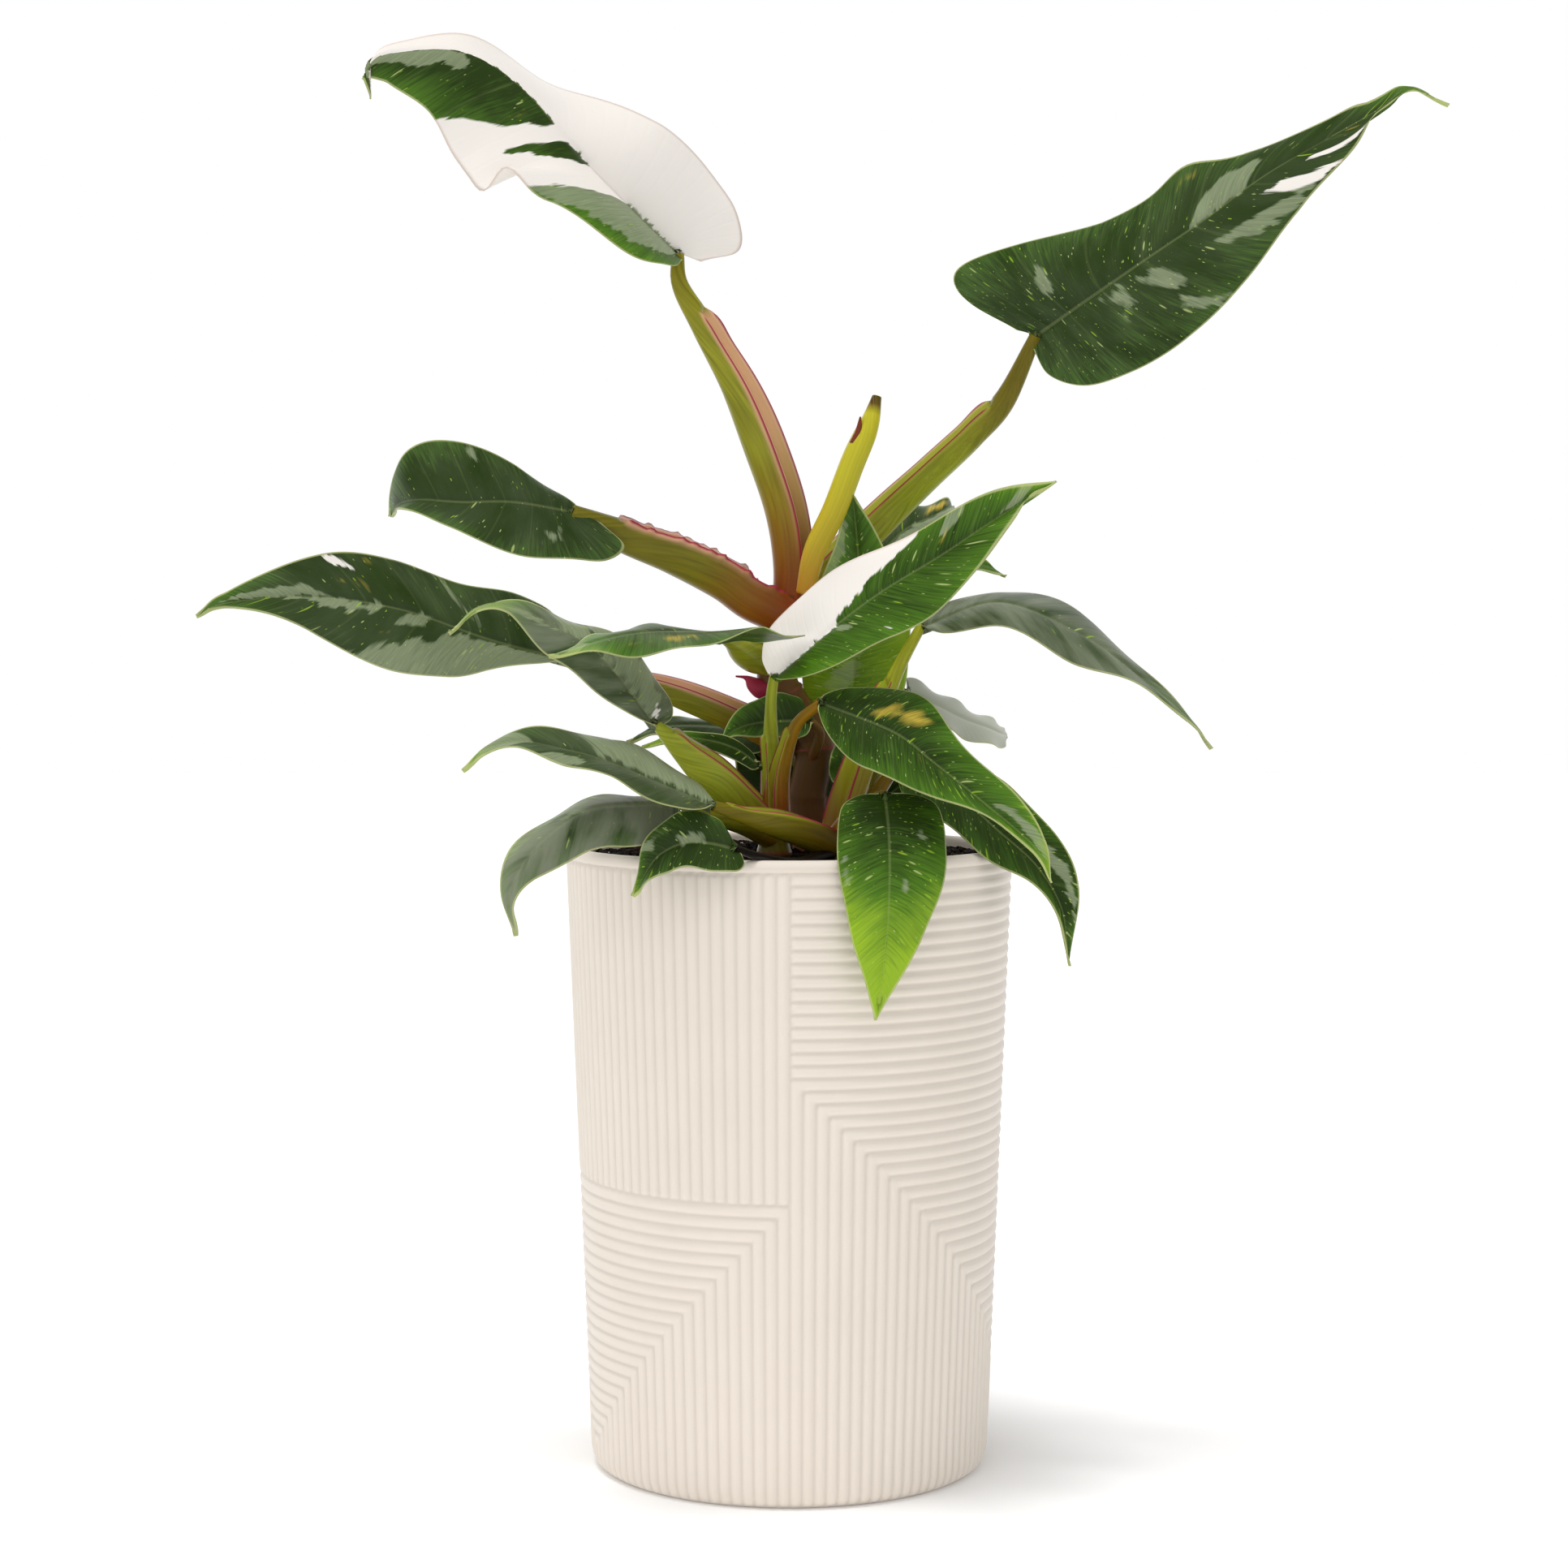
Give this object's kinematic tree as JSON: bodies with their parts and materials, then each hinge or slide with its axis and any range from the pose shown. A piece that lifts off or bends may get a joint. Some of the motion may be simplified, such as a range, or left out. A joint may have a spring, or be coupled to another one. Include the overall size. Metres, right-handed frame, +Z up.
{
  "type": "potted plant",
  "caption": "Variegated climbing houseplant with heart-shaped leaves on sheathed stalks, in a ribbed round pot.",
  "frame": {"origin": "centre of the pot's flat foot, on the surface it stands on", "axes": "+Z up, -Y towards the side seen in the picture, +X to the right of that side"},
  "size_m": [0.4094, 0.1705, 0.473],
  "materials": {
    "pot": "satin",
    "soil": "matte",
    "stems": "satin",
    "leaf_white": "satin",
    "leaf_mid_green": "satin",
    "leaf_dark_green": "satin",
    "leaf_grey_green": "satin",
    "leaf_lime": "satin"
  },
  "bodies": {
    "root": {"pot": "pot", "soil": "soil", "stems_main": "stems", "stems_left": "stems", "stems_front": "stems", "stems_back": "stems", "leaf_top_left": "leaf_white", "leaf_centre": "leaf_white", "leaf_top_right": "leaf_mid_green", "leaf_level": "leaf_mid_green", "leaf_hanging": "leaf_mid_green", "leaf_back_high": "leaf_mid_green", "leaf_back_tip": "leaf_mid_green", "leaf_small_back": "leaf_mid_green", "cataphyll": "leaf_mid_green", "leaf_mid_left": "leaf_dark_green", "leaf_long_left": "leaf_dark_green", "leaf_front_right": "leaf_dark_green", "leaf_low_right": "leaf_dark_green", "leaf_small_front": "leaf_dark_green", "leaf_inner": "leaf_dark_green", "leaf_inner_back": "leaf_dark_green", "leaf_front_left": "leaf_grey_green", "leaf_arched_right": "leaf_grey_green", "leaf_back_right": "leaf_grey_green", "leaf_low_left": "leaf_grey_green", "leaf_drooping_left": "leaf_grey_green", "leaf_upright": "leaf_lime", "new_shoot": "leaf_lime"}
  },
  "joints": []
}
